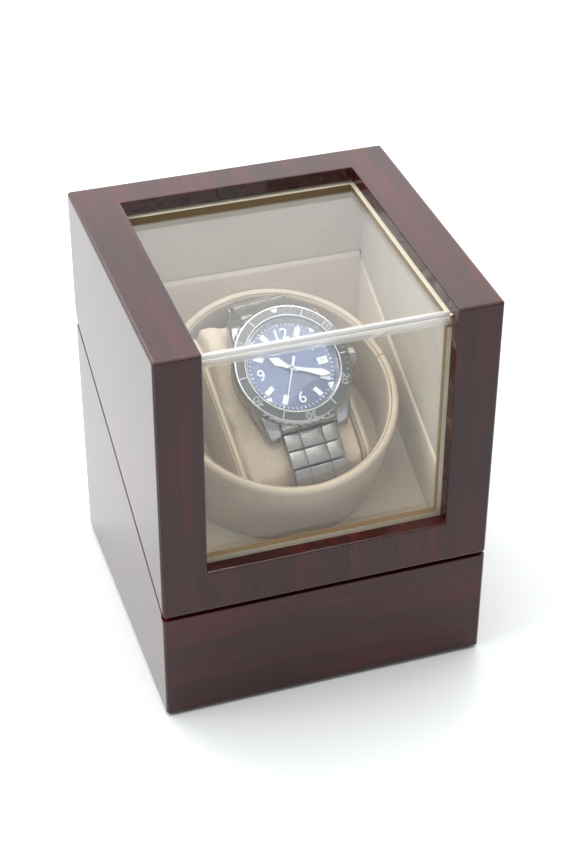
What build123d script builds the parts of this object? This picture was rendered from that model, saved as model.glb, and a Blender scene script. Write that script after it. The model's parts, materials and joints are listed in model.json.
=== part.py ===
"""Single watch winder box: a lacquered case with a glazed lid over a turning cup.

Millimetres. X is to the right, Y to the back and Z up, with the origin on the table
under the middle of the box.
"""
import os
from math import atan2, cos, degrees, pi, radians, sin, sqrt, tan

from build123d import *

# The case
WIDTH, DEPTH, HEIGHT = 125.0, 122.0, 158.0
SPLIT_FRONT, SPLIT_BACK = 48.0, 103.0      # height of the lid joint at the two faces
SLOPE = atan2(SPLIT_BACK - SPLIT_FRONT, DEPTH)
LID_GAP = 0.3
EDGE_R, WINDOW_EDGE_R = 1.2, 0.7
FOOT_H = 0.8
BASE_WALL, FLOOR_T = 9.0, 6.0
LID_SIDE, LID_FACE, LID_BACK = 8.6, 5.6, 8.0
LID_CORNER_R, BASE_CORNER_R = 8.0, 3.0

# The window and the boards behind it
WINDOW_HALF_X, WINDOW_BOTTOM, WINDOW_BACK = 45.5, 65.2, 46.4
PANE_T, PANE_LAP, PANE_BEND_R = 3.0, 4.0, 3.6
FRAME_BOARD_T, BOARD_LIP, LINING_T = 6.0, 0.8, 1.9

# The lip that locates the lid, and the sloping deck
COLLAR_T, COLLAR_RISE, COLLAR_BACK_TOP, COLLAR_FRONT_TOP = 2.4, 13.0, 116.0, 57.0
DECK_D, DECK_T = -12.0, 3.0

# The cup, in the frame of the slope: x, distance up the slope, height over it
CUP_S, CUP_R, CUP_WALL, CUP_RIM = 4.3, 44.0, 2.6, 24.5
CUP_FLOOR_D, CUP_FLOOR_T, RIM_PAD_H, RIM_PAD_T = -11.0, 3.0, 4.5, 3.6
SPINDLE_R, FIT = 2.5, 0.05

# The gear train under the deck
MODULE, FACE = 0.5, 3.0
SPINDLE_TEETH, WHEEL_TEETH, PINION_TEETH = 64, 56, 16
ARBOR_R, PLATE_T, GEAR_PITCH_D = 1.5, 2.0, 4.0
MOTOR_R, MOTOR_L = 12.2, 14.0

# The hinge
HINGE_Y, KNUCKLE_R, HINGE_PIN_R, HINGE_W, HINGE_X = 59.2, 1.6, 0.8, 22.0, 32.0
LEAF_T, LEAF_L = 0.9, 6.0

# The pillow
PILLOW_HALF_X, PILLOW_HALF_S, END_T = 26.0, 33.0, 3.0
REST_TURN = 5.0        # the cup comes to rest turned this many degrees to the left

# The watch
WATCH_X, WATCH_S, WATCH_D = 3.4, 6.3, 36.95  # middle of the bezel's top
WATCH_TILT = 11.7                            # degrees forward of the cup's axis
BEZEL_R, BEZEL_H, CRYSTAL_R, CASE_R = 22.9, 3.0, 17.5, 21.6
CASE_BACK, DIAL_Z = -12.5, -3.5
BAND_W, BAND_T, LINK_PITCH = 21.0, 3.2, 6.6

HALF_X, HALF_Y = WIDTH / 2, DEPTH / 2
PARTS = "parts"
slope = Plane(origin=(0, 0, (SPLIT_FRONT + SPLIT_BACK) / 2), x_dir=(1, 0, 0), z_dir=(0, -sin(SLOPE), cos(SLOPE)))
os.makedirs(PARTS, exist_ok=True)


def save(name, *shapes):
    """Write one node, which may be several separate solids."""
    shape = shapes[0] if len(shapes) == 1 else Compound(children=list(shapes))
    export_step(shape, f"{PARTS}/{name}.step")


def block(x0, x1, y0, y1, z0, z1):
    """A box between two corners."""
    return Pos((x0 + x1) / 2, (y0 + y1) / 2, (z0 + z1) / 2) * Box(x1 - x0, y1 - y0, z1 - z0)


def rod(r, z0, z1, x=0.0, y=0.0):
    """An upright cylinder between two heights."""
    return Pos(x, y, (z0 + z1) / 2) * Cylinder(r, z1 - z0)


def ring(r_out, r_in, z0, z1, x=0.0, y=0.0):
    """An upright tube between two heights."""
    return rod(r_out, z0, z1, x, y) - rod(r_in, z0 - 1, z1 + 1, x, y)


def along_x(r, x0, x1, y, z):
    """A cylinder along X."""
    return Pos((x0 + x1) / 2, y, z) * Rot(0, 90, 0) * Cylinder(r, x1 - x0)


def side_profile(points, x0, x1):
    """A prism along X from an outline of (y, z) points."""
    outline = Polyline(*[(0, y, z) for y, z in points], close=True)
    return Pos(x0, 0, 0) * extrude(make_face(outline), amount=x1 - x0, dir=(1, 0, 0))


def split_z(y, d=0.0):
    """Height at depth y of the plane that lies d over the lid joint."""
    return (SPLIT_FRONT + SPLIT_BACK) / 2 + y * tan(SLOPE) + d / cos(SLOPE)


def above(d, reach=200.0):
    """Everything over the plane that lies d over the lid joint."""
    far = HALF_Y + 10
    return side_profile([(-far, split_z(-far, d)), (far, split_z(far, d)), (far, reach), (-far, reach)], -90, 90)


def below(d):
    """Everything under the plane that lies d over the lid joint."""
    far = HALF_Y + 10
    return side_profile([(-far, split_z(-far, d)), (far, split_z(far, d)), (far, -20), (-far, -20)], -90, 90)


def on_slope(shape):
    """Place a shape that was drawn in the frame of the slope."""
    return slope.location * shape


def on_pillow(shape):
    """Place a shape that was drawn in the frame of the slope and turns with the resting cup."""
    return slope.location * Pos(0, CUP_S, 0) * Rot(0, 0, REST_TURN) * Pos(0, -CUP_S, 0) * shape


# ---------------------------------------------------------------- the wooden case

def case_half(side, joint_d, corner_r):
    """The case on one side of the lid joint, as a block with its outer edges rounded."""
    half = block(-HALF_X, HALF_X, -HALF_Y, HALF_Y, FOOT_H, HEIGHT) & side
    corner = half.edges().filter_by(Axis.X).sort_by_distance((0, HALF_Y, SPLIT_BACK))[0]
    half = fillet(corner, corner_r)
    on_joint = [abs(slope.to_local_coords(e.center()).Z - joint_d) < 0.01 for e in half.edges()]
    return fillet([e for e, flat in zip(half.edges(), on_joint) if not flat], EDGE_R)


def mitre(shell, *cuts):
    """Keep the part of a shell on the kept side of each (point, normal) plane."""
    for point, normal in cuts:
        shell = split(shell, bisect_by=Plane(origin=point, z_dir=normal), keep=Keep.TOP)
    return shell


LEFT_FRONT, LEFT_BACK = (-HALF_X, -HALF_Y, 0), (-HALF_X, HALF_Y, 0)
RIGHT_FRONT, RIGHT_BACK = (HALF_X, -HALF_Y, 0), (HALF_X, HALF_Y, 0)
TOP_LEFT, TOP_RIGHT = (-HALF_X, 0, HEIGHT), (HALF_X, 0, HEIGHT)
TOP_FRONT, TOP_BACK = (0, -HALF_Y, HEIGHT), (0, HALF_Y, HEIGHT)


def flip(normal):
    return tuple(-value for value in normal)


IN_LF, IN_LB, IN_RF, IN_RB = (1, -1, 0), (1, 1, 0), (-1, -1, 0), (-1, 1, 0)
UP_L, UP_R, UP_F, UP_B = (1, 0, 1), (-1, 0, 1), (0, 1, 1), (0, -1, 1)

hinge_z = split_z(HINGE_Y, LID_GAP / 2)
hinge_spans = [(x - HINGE_W / 2, x + HINGE_W / 2) for x in (-HINGE_X, HINGE_X)]
knuckle_room = [along_x(KNUCKLE_R + 0.4, x0 - 0.3, x1 + 0.3, HINGE_Y, hinge_z) for x0, x1 in hinge_spans]

HINGE_S = (HINGE_Y + LID_GAP / 2 * sin(SLOPE)) / cos(SLOPE)   # the pin's place up the slope
SCREW_R, SCREW_HEAD_R, SCREW_L = 0.8, 1.4, 4.5
SCREW_CLEAR = 0.06
hinge_screw_x = [x + side * 6.5 for x in (-HINGE_X, HINGE_X) for side in (-1, 1)]


def leaf(x0, x1, d0, d1):
    """One hinge leaf lying along the slope, as a plain plate."""
    return on_slope(block(x0, x1, HINGE_S - LEAF_L, HINGE_S, d0, d1))


def hinge_screw(x, d, turn, extra=0.0):
    """A countersunk screw whose head lies flush at height d and which points down, or up."""
    shank = rod(SCREW_R + extra, -SCREW_L - extra, -0.3 + extra)
    head = Pos(0, 0, -0.3) * Cone(SCREW_R + extra, SCREW_HEAD_R + extra, 0.6)
    return on_slope(Pos(x, HINGE_S - 4.2, d) * Rot(turn, 0, 0) * (shank + head))


base_screws = [hinge_screw(x, -0.02, 0) for x in hinge_screw_x]
lid_screws = [hinge_screw(x, LID_GAP + 0.02, 180) for x in hinge_screw_x]
base_screw_holes = [hinge_screw(x, 0.0, 0, SCREW_CLEAR) for x in hinge_screw_x]
lid_screw_holes = [hinge_screw(x, LID_GAP, 180, SCREW_CLEAR) for x in hinge_screw_x]

# Base: four mitred walls round a floor
PLATE_X, PLATE_Z0, PLATE_Z1, PLATE_Y = 33.0, 22.0, 50.0, 58.0     # the control plate in the back wall
FINGER_GAP, FINGER_DEPTH = 1.6, 2.6

base_shell = case_half(below(0), 0, BASE_CORNER_R)
base_shell -= block(-HALF_X + BASE_WALL, HALF_X - BASE_WALL, -HALF_Y + BASE_WALL, HALF_Y - BASE_WALL, -5, 130)
base_shell -= block(-90, 90, -HALF_Y - 2, -HALF_Y + FINGER_DEPTH, SPLIT_FRONT - FINGER_GAP, 60)
base_front = mitre(base_shell, (LEFT_FRONT, IN_LF), (RIGHT_FRONT, IN_RF))
base_back = mitre(base_shell, (LEFT_BACK, IN_LB), (RIGHT_BACK, IN_RB))
base_left = mitre(base_shell, (LEFT_FRONT, flip(IN_LF)), (LEFT_BACK, flip(IN_LB)))
base_right = mitre(base_shell, (RIGHT_FRONT, flip(IN_RF)), (RIGHT_BACK, flip(IN_RB)))
for cut in knuckle_room + base_screw_holes:
    base_back -= cut
for x0, x1 in hinge_spans:
    base_back -= leaf(x0 - 0.2, x1 + 0.2, -LEAF_T - 0.05, 1)
base_back -= block(-PLATE_X - 0.2, PLATE_X + 0.2, PLATE_Y, 70, PLATE_Z0 - 0.2, PLATE_Z1 + 0.2)
base_back -= block(-PLATE_X + 5, PLATE_X - 5, 40, 70, PLATE_Z0 + 4, PLATE_Z1 - 4)
inside_x, inside_y = HALF_X - BASE_WALL, HALF_Y - BASE_WALL
save("base_front", base_front)
save("base_left_side", base_left)
save("base_right_side", base_right)
save("base_floor", block(-inside_x, inside_x, -inside_y, inside_y, FOOT_H, FOOT_H + FLOOR_T))
save("base_feet", *[rod(6, 0, FOOT_H, x, y) for x in (-46, 46) for y in (-44, 44)])

# Lid: two sides, a back and two three-sided frames round the window
lid_shell = case_half(above(LID_GAP), LID_GAP, LID_CORNER_R)
lid_in_x, lid_in_front, lid_in_back = HALF_X - LID_SIDE, HALF_Y - LID_FACE, HALF_Y - LID_BACK
lid_shell -= block(-lid_in_x, lid_in_x, -lid_in_front, lid_in_back, -5, HEIGHT - LID_FACE)
lid_shell -= block(-WINDOW_HALF_X, WINDOW_HALF_X, -90, WINDOW_BACK, WINDOW_BOTTOM, 190)


def on_window(edge):
    """Whether an edge runs round the window on the lid's outer faces."""
    at = edge.center()
    on_face = abs(at.Y + HALF_Y) < 0.01 or abs(at.Z - HEIGHT) < 0.01
    on_rim = abs(abs(at.X) - WINDOW_HALF_X) < 0.01 or abs(at.Y - WINDOW_BACK) < 0.01 or abs(at.Z - WINDOW_BOTTOM) < 0.01
    return on_face and on_rim


lid_shell = fillet(lid_shell.edges().filter_by(on_window), WINDOW_EDGE_R)
lid_left = mitre(lid_shell, (LEFT_FRONT, flip(IN_LF)), (LEFT_BACK, flip(IN_LB)), (TOP_LEFT, flip(UP_L)))
lid_right = mitre(lid_shell, (RIGHT_FRONT, flip(IN_RF)), (RIGHT_BACK, flip(IN_RB)), (TOP_RIGHT, flip(UP_R)))
lid_top = mitre(lid_shell, (TOP_LEFT, UP_L), (TOP_RIGHT, UP_R), (TOP_FRONT, UP_F), (TOP_BACK, UP_B))
lid_front = mitre(lid_shell, (LEFT_FRONT, IN_LF), (RIGHT_FRONT, IN_RF), (TOP_FRONT, flip(UP_F)))
lid_back = mitre(lid_shell, (LEFT_BACK, IN_LB), (RIGHT_BACK, IN_RB), (TOP_BACK, flip(UP_B)))
for cut in knuckle_room + lid_screw_holes:
    lid_back -= cut
for x0, x1 in hinge_spans:
    lid_back -= leaf(x0 - 0.2, x1 + 0.2, -1, LID_GAP + LEAF_T + 0.05)
save("lid_left_side", lid_left)
save("lid_right_side", lid_right)
save("lid_top_frame", lid_top)
save("lid_front_frame", lid_front)
save("lid_back_panel", lid_back)

# ---------------------------------------------------------------- the hinge


def hinge_half(d0, d1, knuckles):
    """Both hinges' leaves on one side, each with its knuckles, bored for the pin."""
    halves = []
    for x0, x1 in hinge_spans:
        half = leaf(x0, x1, d0, d1)
        half -= along_x(KNUCKLE_R + 0.25, x0 - 1, x1 + 1, HINGE_Y, hinge_z)
        for a, b in knuckles:
            half += along_x(KNUCKLE_R, x0 + a, x0 + b, HINGE_Y, hinge_z)
            half += on_slope(block(x0 + a, x0 + b, HINGE_S - KNUCKLE_R - 1, HINGE_S - 1, d0, d1))
        half -= along_x(HINGE_PIN_R + FIT, x0 - 1, x1 + 1, HINGE_Y, hinge_z)
        halves.append(half)
    return halves


third = HINGE_W / 3
base_leaves = hinge_half(-LEAF_T, -0.02, [(0, third - 0.1), (2 * third + 0.1, HINGE_W)])
lid_leaves = hinge_half(LID_GAP + 0.02, LID_GAP + LEAF_T, [(third + 0.1, 2 * third - 0.1)])
for cut in base_screw_holes:
    base_leaves = [half - cut for half in base_leaves]
for cut in lid_screw_holes:
    lid_leaves = [half - cut for half in lid_leaves]
save("hinge_base_leaves", *base_leaves)
save("hinge_lid_leaves", *lid_leaves)
save("hinge_pins", *[along_x(HINGE_PIN_R, x0, x1, HINGE_Y, hinge_z) for x0, x1 in hinge_spans])
save("lid_screws", *lid_screws)

# ---------------------------------------------------------------- pane and linings
pane_y, pane_z = -lid_in_front, HEIGHT - LID_FACE
pane_bottom, pane_back = WINDOW_BOTTOM - PANE_LAP, WINDOW_BACK + PANE_LAP
pane_half_x = WINDOW_HALF_X + PANE_LAP


def bent_sheet(offset, half_x, bottom, back, thickness, bend_r):
    """An L-shaped bent sheet whose outside lies offset inside the lid's front and top."""
    y0, z1 = pane_y + offset, pane_z - offset
    outside = side_profile([(y0, bottom), (back, bottom), (back, z1), (y0, z1)], -half_x, half_x)
    inside = side_profile(
        [(y0 + thickness, bottom - 1), (back + 1, bottom - 1), (back + 1, z1 - thickness), (y0 + thickness, z1 - thickness)],
        -half_x - 1, half_x + 1)
    corner_out = outside.edges().filter_by(Axis.X).sort_by_distance((0, y0, z1))[0]
    corner_in = inside.edges().filter_by(Axis.X).sort_by_distance((0, y0 + thickness, z1 - thickness))[0]
    return fillet(corner_out, bend_r) - fillet(corner_in, max(bend_r - thickness, 0.5))


pane = bent_sheet(0.05, pane_half_x, pane_bottom, pane_back, PANE_T, PANE_BEND_R)
save("window_pane", pane)

# The boards that hold the pane: a three-sided frame at the front and one at the top
board_in_y, board_in_z = pane_y + FRAME_BOARD_T, pane_z - FRAME_BOARD_T
pane_room = bent_sheet(-0.5, pane_half_x + 0.2, pane_bottom - 0.2, pane_back + 0.2, PANE_T + 0.6, PANE_BEND_R)
lip_x = WINDOW_HALF_X - BOARD_LIP
opening = block(-lip_x, lip_x, -90, WINDOW_BACK - BOARD_LIP, WINDOW_BOTTOM + BOARD_LIP, 190)
board_x = lid_in_x - 0.05
front_board = block(-board_x, board_x, pane_y + 0.05, board_in_y, COLLAR_FRONT_TOP + 0.6, board_in_z)
top_board = block(-board_x, board_x, pane_y + 0.05, lid_in_back - 0.05, board_in_z, pane_z - 0.05)
save("lid_lining_front", front_board - pane_room - opening)
save("lid_lining_top", top_board - pane_room - opening)

back_lining_y = lid_in_back - LINING_T
side_lining = block(lid_in_x - LINING_T, board_x, board_in_y + 0.05, back_lining_y - 0.05, 20, board_in_z - 0.05)
side_lining = side_lining & above(COLLAR_RISE + 0.5)
save("lid_lining_right", side_lining)
save("lid_lining_left", mirror(side_lining, about=Plane.YZ))
save("lid_lining_back", block(-board_x, board_x, back_lining_y, lid_in_back - 0.05, COLLAR_BACK_TOP + 0.6, board_in_z - 0.05))

# Collar round the top of the base, covered in suede
collar_x, collar_y = inside_x - 0.02, inside_y - 0.02
deck_under = DECK_D - DECK_T
side_collar = block(collar_x - COLLAR_T, collar_x, board_in_y + 0.3, collar_y, 10, 150)
side_collar = side_collar & below(COLLAR_RISE) & above(DECK_D + 0.05)
side_top = side_collar.edges().sort_by_distance((collar_x - COLLAR_T, 0, split_z(0, COLLAR_RISE)))[0]
side_collar = fillet(side_top, 1.0)
save("collar_right", side_collar)
save("collar_left", mirror(side_collar, about=Plane.YZ))
back_x = collar_x - COLLAR_T - 0.05
back_collar = block(-back_x, back_x, collar_y - COLLAR_T, collar_y, 60, COLLAR_BACK_TOP) & above(DECK_D + 0.05)
back_top = back_collar.edges().filter_by(Axis.X).sort_by_distance((0, collar_y - COLLAR_T, COLLAR_BACK_TOP))[0]
save("collar_back", fillet(back_top, 1.8))
save("collar_front", block(-collar_x, collar_x, -collar_y, -collar_y + COLLAR_T, 30, COLLAR_FRONT_TOP)
     & above(DECK_D + 0.05))

# ---------------------------------------------------------------- deck and gearbox
axis_at = Pos(0, CUP_S, 0)
deck = block(-collar_x, collar_x, -90, 90, deck_under, DECK_D) - rod(8, -40, 10, 0, CUP_S)
deck = on_slope(deck) & block(-90, 90, -collar_y, collar_y, -10, 150)
save("deck_panel", deck)
cleat = on_slope(block(collar_x - 8, collar_x, -48, 42, deck_under - 8, deck_under - 0.02))
save("deck_cleats", cleat, mirror(cleat, about=Plane.YZ))


def gear_face(teeth, phase, centre):
    """An involute spur gear's outline, with a tooth centred at the phase angle."""
    pitch_r = MODULE * teeth / 2
    base_r, tip_r, root_r = pitch_r * cos(radians(20)), pitch_r + 0.9 * MODULE, pitch_r - 1.2 * MODULE
    half_pitch = pi / (2 * teeth) - 0.04 / pitch_r           # half a tooth, less the backlash
    at_pitch = tan(radians(20)) - radians(20)
    start_r = max(base_r, root_r)
    flank = []
    for step in range(4):
        r = start_r + (tip_r - start_r) * step / 3
        roll = sqrt(max((r / base_r) ** 2 - 1, 0.0))
        flank.append((r, half_pitch + at_pitch - (roll - atan2(roll, 1))))
    if root_r < start_r:
        flank.insert(0, (root_r, flank[0][1]))
    points = []
    for tooth in range(teeth):
        middle = phase + 2 * pi * tooth / teeth
        corners = [(r, middle - turn) for r, turn in flank] + [(r, middle + turn) for r, turn in reversed(flank)]
        points += [(centre[0] + r * cos(turn), centre[1] + r * sin(turn)) for r, turn in corners]
    return make_face(Polyline(*points, close=True))


def gear(teeth, phase, centre, level):
    """A gear on a level under the deck, counted down from 1."""
    top = deck_under - PLATE_T - 1.5 - (level - 1) * GEAR_PITCH_D
    return Pos(0, 0, top - FACE) * extrude(gear_face(teeth, phase, centre), amount=FACE, dir=(0, 0, 1))


def mesh_phase(teeth_a, phase_a, centre_a, teeth_b, centre_b):
    """The phase that puts gear B in mesh with gear A."""
    toward = atan2(centre_b[1] - centre_a[1], centre_b[0] - centre_a[0])
    part_a = (toward - phase_a) * teeth_a / (2 * pi)
    return toward + pi - (0.5 - part_a) * 2 * pi / teeth_b


def step_from(centre, distance, angle):
    return (centre[0] + distance * cos(radians(angle)), centre[1] + distance * sin(radians(angle)))


spindle_at = (0.0, CUP_S)
second_at = step_from(spindle_at, MODULE * (SPINDLE_TEETH + PINION_TEETH) / 2, 180)
first_at = step_from(second_at, MODULE * (WHEEL_TEETH + PINION_TEETH) / 2, -70)
motor_at = step_from(first_at, MODULE * (WHEEL_TEETH + PINION_TEETH) / 2, 0)
phase_s = 0.0
phase_2 = mesh_phase(SPINDLE_TEETH, phase_s, spindle_at, PINION_TEETH, second_at)
phase_1 = mesh_phase(WHEEL_TEETH, phase_2, second_at, PINION_TEETH, first_at)
phase_m = mesh_phase(WHEEL_TEETH, phase_1, first_at, PINION_TEETH, motor_at)
HUB_R = 3.0
bottom_plate_top = deck_under - PLATE_T - 16.0
bottom_plate_under = bottom_plate_top - PLATE_T


def compound_gear(centre, pinion_phase, wheel_phase, level):
    """A small gear over a large one on one hub, bored for its arbor."""
    top = deck_under - PLATE_T - 1.5 - (level - 1) * GEAR_PITCH_D
    hub = rod(HUB_R, top - GEAR_PITCH_D - FACE - 0.4, top + 0.4, *centre)
    wheel = gear(WHEEL_TEETH, wheel_phase, centre, level + 1)
    bore = rod(ARBOR_R + FIT, -60, 0, *centre)
    return gear(PINION_TEETH, pinion_phase, centre, level) + wheel + hub - bore


spindle_gear = gear(SPINDLE_TEETH, phase_s, spindle_at, 1)
spindle_gear += rod(5, deck_under - PLATE_T - 5.4, deck_under - PLATE_T - 0.8, *spindle_at)
spindle_gear -= rod(SPINDLE_R + 0.02, -60, 0, *spindle_at)
save("spindle_gear", on_slope(spindle_gear))
save("second_gear", on_slope(compound_gear(second_at, phase_2, phase_2, 1)))
save("first_gear", on_slope(compound_gear(first_at, phase_1, phase_1, 2)))
motor_pinion = gear(PINION_TEETH, phase_m, motor_at, 3) + rod(1.0, bottom_plate_under - 5, bottom_plate_top + 6, *motor_at)
save("motor_pinion", on_slope(motor_pinion))

plate_outline = block(-38, 22, -26, 26, 0, PLATE_T)
plate_outline = fillet(plate_outline.edges().filter_by(Axis.Z), 4)
pillar_at = [(x, CUP_S + y) for x in (-34, 18) for y in (-22, 22)]
BUSH_R, PILLAR_R = 4.2, 2.5


def gear_plate(under, holes):
    plate = Pos(0, CUP_S, under) * plate_outline
    for centre, r in holes:
        plate -= rod(r, -60, 0, *centre)
    return plate


arbor_holes = [(first_at, ARBOR_R + 0.02), (second_at, ARBOR_R + 0.02)]
top_plate = gear_plate(deck_under - PLATE_T, arbor_holes + [(spindle_at, BUSH_R + 0.02)])
bottom_plate = gear_plate(bottom_plate_under, arbor_holes + [(spindle_at, BUSH_R + 0.02), (motor_at, 3.2)])
save("gearbox_top_plate", on_slope(top_plate))
save("gearbox_bottom_plate", on_slope(bottom_plate))
save("gearbox_pillars", *[on_slope(rod(PILLAR_R, bottom_plate_top, deck_under - PLATE_T, *at)) for at in pillar_at])
save("gear_arbors", *[on_slope(rod(ARBOR_R, bottom_plate_under, deck_under, *at)) for at in (first_at, second_at)])


def bush(z0, z1, flange0, flange1):
    shape = rod(BUSH_R, z0, z1, *spindle_at) + rod(BUSH_R + 1.4, flange0, flange1, *spindle_at)
    return on_slope(shape - rod(SPINDLE_R + FIT, -60, 0, *spindle_at))


upper_bush = bush(deck_under - PLATE_T, deck_under, deck_under - PLATE_T - 0.7, deck_under - PLATE_T)
lower_bush = bush(bottom_plate_under, bottom_plate_top, bottom_plate_top, bottom_plate_top + 1.5)
save("spindle_bushes", upper_bush, lower_bush)

motor_top = bottom_plate_under
can = fillet(rod(MOTOR_R, motor_top - MOTOR_L, motor_top, *motor_at).edges(), 1.2)
can += rod(3.1, motor_top - 1, motor_top + PLATE_T - 0.3, *motor_at)
can += rod(4.5, motor_top - MOTOR_L - 1.5, motor_top - MOTOR_L + 0.5, *motor_at)
can -= rod(1.0 + FIT, motor_top - 6, 0, *motor_at)
save("motor_can", on_slope(can))

# ---------------------------------------------------------------- the cup
cup_inner = CUP_R - CUP_WALL
wall_top = CUP_RIM - RIM_PAD_H
save("cup_wall", on_slope(ring(CUP_R, cup_inner, CUP_FLOOR_D, wall_top, *spindle_at)))
rim_section = Pos(CUP_R + 0.2 - RIM_PAD_T / 2, 0, CUP_RIM - RIM_PAD_H / 2) * Rot(90, 0, 0) * \
    RectangleRounded(RIM_PAD_T, RIM_PAD_H - 0.02, 1.7)
rim_pad = axis_at * revolve(rim_section, Axis.Z)
save("cup_rim_pad", on_slope(rim_pad))
BOSS_R, HUB_FLANGE_R, HUB_FLANGE_T = 5.8, 12.0, 2.0
floor_top = CUP_FLOOR_D + CUP_FLOOR_T
save("cup_floor", on_slope(ring(cup_inner - 0.02, BOSS_R + 0.05, CUP_FLOOR_D, floor_top, *spindle_at)))
hub = rod(HUB_FLANGE_R, floor_top + 0.02, floor_top + HUB_FLANGE_T, *spindle_at)
hub += rod(BOSS_R, deck_under + 1.5, floor_top + 0.1, *spindle_at)
hub -= rod(SPINDLE_R + 0.02, -60, floor_top, *spindle_at)
save("drive_hub", on_slope(hub))
save("spindle", on_slope(rod(SPINDLE_R, bottom_plate_under - 1.5, floor_top - 0.1, *spindle_at)))

# ---------------------------------------------------------------- the pillow
# Its cross-section leans with the watch: low at the front and high at the back
pillow_top = [(-21, 18.6), (21, 27.3)]
PILLOW_UNDER = -1.5


def pillow_profile(inset, under, half_s):
    """The pillow's side outline in distance up the slope and height over it."""
    points = [(-half_s, under), (-half_s, 14.5), (-21, pillow_top[0][1] - inset), (21, pillow_top[1][1] - inset),
              (half_s, 24.0 - inset), (half_s, under)]
    return [(CUP_S + s, d) for s, d in points]


def pillow_slab(x0, x1, inset, under, half_s, edge_r):
    slab = side_profile(pillow_profile(inset, under, half_s), x0, x1)
    across = slab.edges().filter_by(Axis.X)
    top = [e for e in across if e.center().Z > 0]
    low = [e for e in across if e.center().Z < 0]
    slab = fillet(top, 5.0)
    low = [e for e in slab.edges().filter_by(Axis.X) if e.center().Z < under + 0.1]
    return fillet(low, edge_r)


inner_x = PILLOW_HALF_X - END_T
cushion = pillow_slab(-inner_x + 0.1, inner_x - 0.1, 0.0, PILLOW_UNDER, PILLOW_HALF_S, 4.0)
end_plate = pillow_slab(inner_x, PILLOW_HALF_X, 0.8, floor_top + 0.3, 30.5, 1.5)
save("pillow_cushion", on_pillow(cushion))
save("pillow_end_plates", on_pillow(end_plate), on_pillow(mirror(end_plate, about=Plane.YZ)))

# ---------------------------------------------------------------- the watch
watch_at = Pos(WATCH_X, WATCH_S, WATCH_D) * Rot(WATCH_TILT, 0, 0)


def on_watch(shape):
    """Place a shape that was drawn face up round the middle of the bezel's top."""
    return on_pillow(watch_at * shape)


LUG_IN, LUG_OUT, LUG_Y, CASE_TOP = 11.2, 16.6, 24.6, -BEZEL_H - 0.1
case = rod(CASE_R, -10.5, CASE_TOP) + rod(18.0, CASE_BACK, -10.4)
for side in (-1, 1):
    for end in (-1, 1):
        arm = Polyline((end * 9.0, -10.3), (end * LUG_Y, -11.2), (end * LUG_Y, -9.0), (end * 19.0, -4.6),
                       (end * 9.0, CASE_TOP - 0.1), close=True)
        face = make_face(Plane.YZ * arm)
        lug = Pos(side * LUG_IN, 0, 0) * extrude(face, amount=side * (LUG_OUT - LUG_IN), dir=(1, 0, 0))
        case += lug
case -= block(-LUG_IN - 0.05, LUG_IN + 0.05, 20.6, 40, -20, 5)
case -= block(-LUG_IN - 0.05, LUG_IN + 0.05, -40, -20.6, -20, 5)
case = case + ring(CRYSTAL_R, 16.4, CASE_TOP - 0.1, -1.5)
case -= rod(16.4, -4.2, 1)
case -= rod(17.0, -4.2, DIAL_Z + 0.02)
CROWN_Z, CROWN_R = -6.9, 3.2
case -= along_x(1.0 + FIT, 14, 30, 0, CROWN_Z)
save("watch_case", on_watch(case))

COIN_NOTCHES = 48
bezel = ring(BEZEL_R, CRYSTAL_R + 0.08, -BEZEL_H, 0)
bezel = chamfer(bezel.edges().filter_by(GeomType.CIRCLE).filter_by(lambda e: e.radius > 20).sort_by(Axis.Z)[-1], 1.0)
notch = Pos(BEZEL_R + 0.25, 0, -1.9) * Cylinder(0.65, 2.6)
for index in range(COIN_NOTCHES):
    bezel -= Rot(0, 0, 360 * index / COIN_NOTCHES) * notch
save("watch_bezel", on_watch(bezel))

crystal = rod(CRYSTAL_R, -1.48, 0.3)
crystal = chamfer(crystal.edges().filter_by(GeomType.CIRCLE).sort_by(Axis.Z)[-1], 0.4)
save("watch_crystal", on_watch(crystal))
POST_R = 0.5
dial = rod(16.9, DIAL_Z - 0.4, DIAL_Z) + rod(POST_R, DIAL_Z - 0.1, -1.75)
save("watch_dial", on_watch(dial))


def hand(length, width, tail, hub_r, z, thickness, turn):
    """A tapered hand on its hub, turned clockwise from twelve, in degrees."""
    outline = Polyline((-width * 0.35, -tail), (width * 0.35, -tail), (width / 2, length * 0.72), (0, length),
                       (-width / 2, length * 0.72), close=True)
    body = extrude(make_face(outline), amount=thickness) + rod(hub_r, 0, thickness)
    body -= rod(POST_R + FIT, -1, 2)
    return on_watch(Pos(0, 0, z) * Rot(0, 0, -turn) * body)


MINUTE = 19.0
save("watch_hour_hand", hand(8.6, 2.6, 2.5, 1.5, DIAL_Z + 0.3, 0.25, 30 * (10 + MINUTE / 60)))
save("watch_minute_hand", hand(14.0, 2.0, 3.0, 1.3, DIAL_Z + 0.8, 0.25, 6 * MINUTE))
save("watch_seconds_hand", hand(14.6, 0.7, 4.5, 1.0, DIAL_Z + 1.25, 0.2, 208))

crown = along_x(CROWN_R, CASE_R + 0.5, CASE_R + 4.6, 0, CROWN_Z)
crown = chamfer(crown.edges().filter_by(GeomType.CIRCLE), 0.4)
flute = along_x(0.35, CASE_R + 0.2, CASE_R + 5, CROWN_R + 0.1, 0)
for index in range(20):
    crown -= Pos(0, 0, CROWN_Z) * Rot(360 * index / 20, 0, 0) * flute
crown += along_x(1.0, CASE_R - 5, CASE_R + 1, 0, CROWN_Z)
save("watch_crown", on_watch(crown))

# The bracelet's links, laid along a loop round the pillow
half_loop = 37.8 - BAND_T / 2


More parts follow.
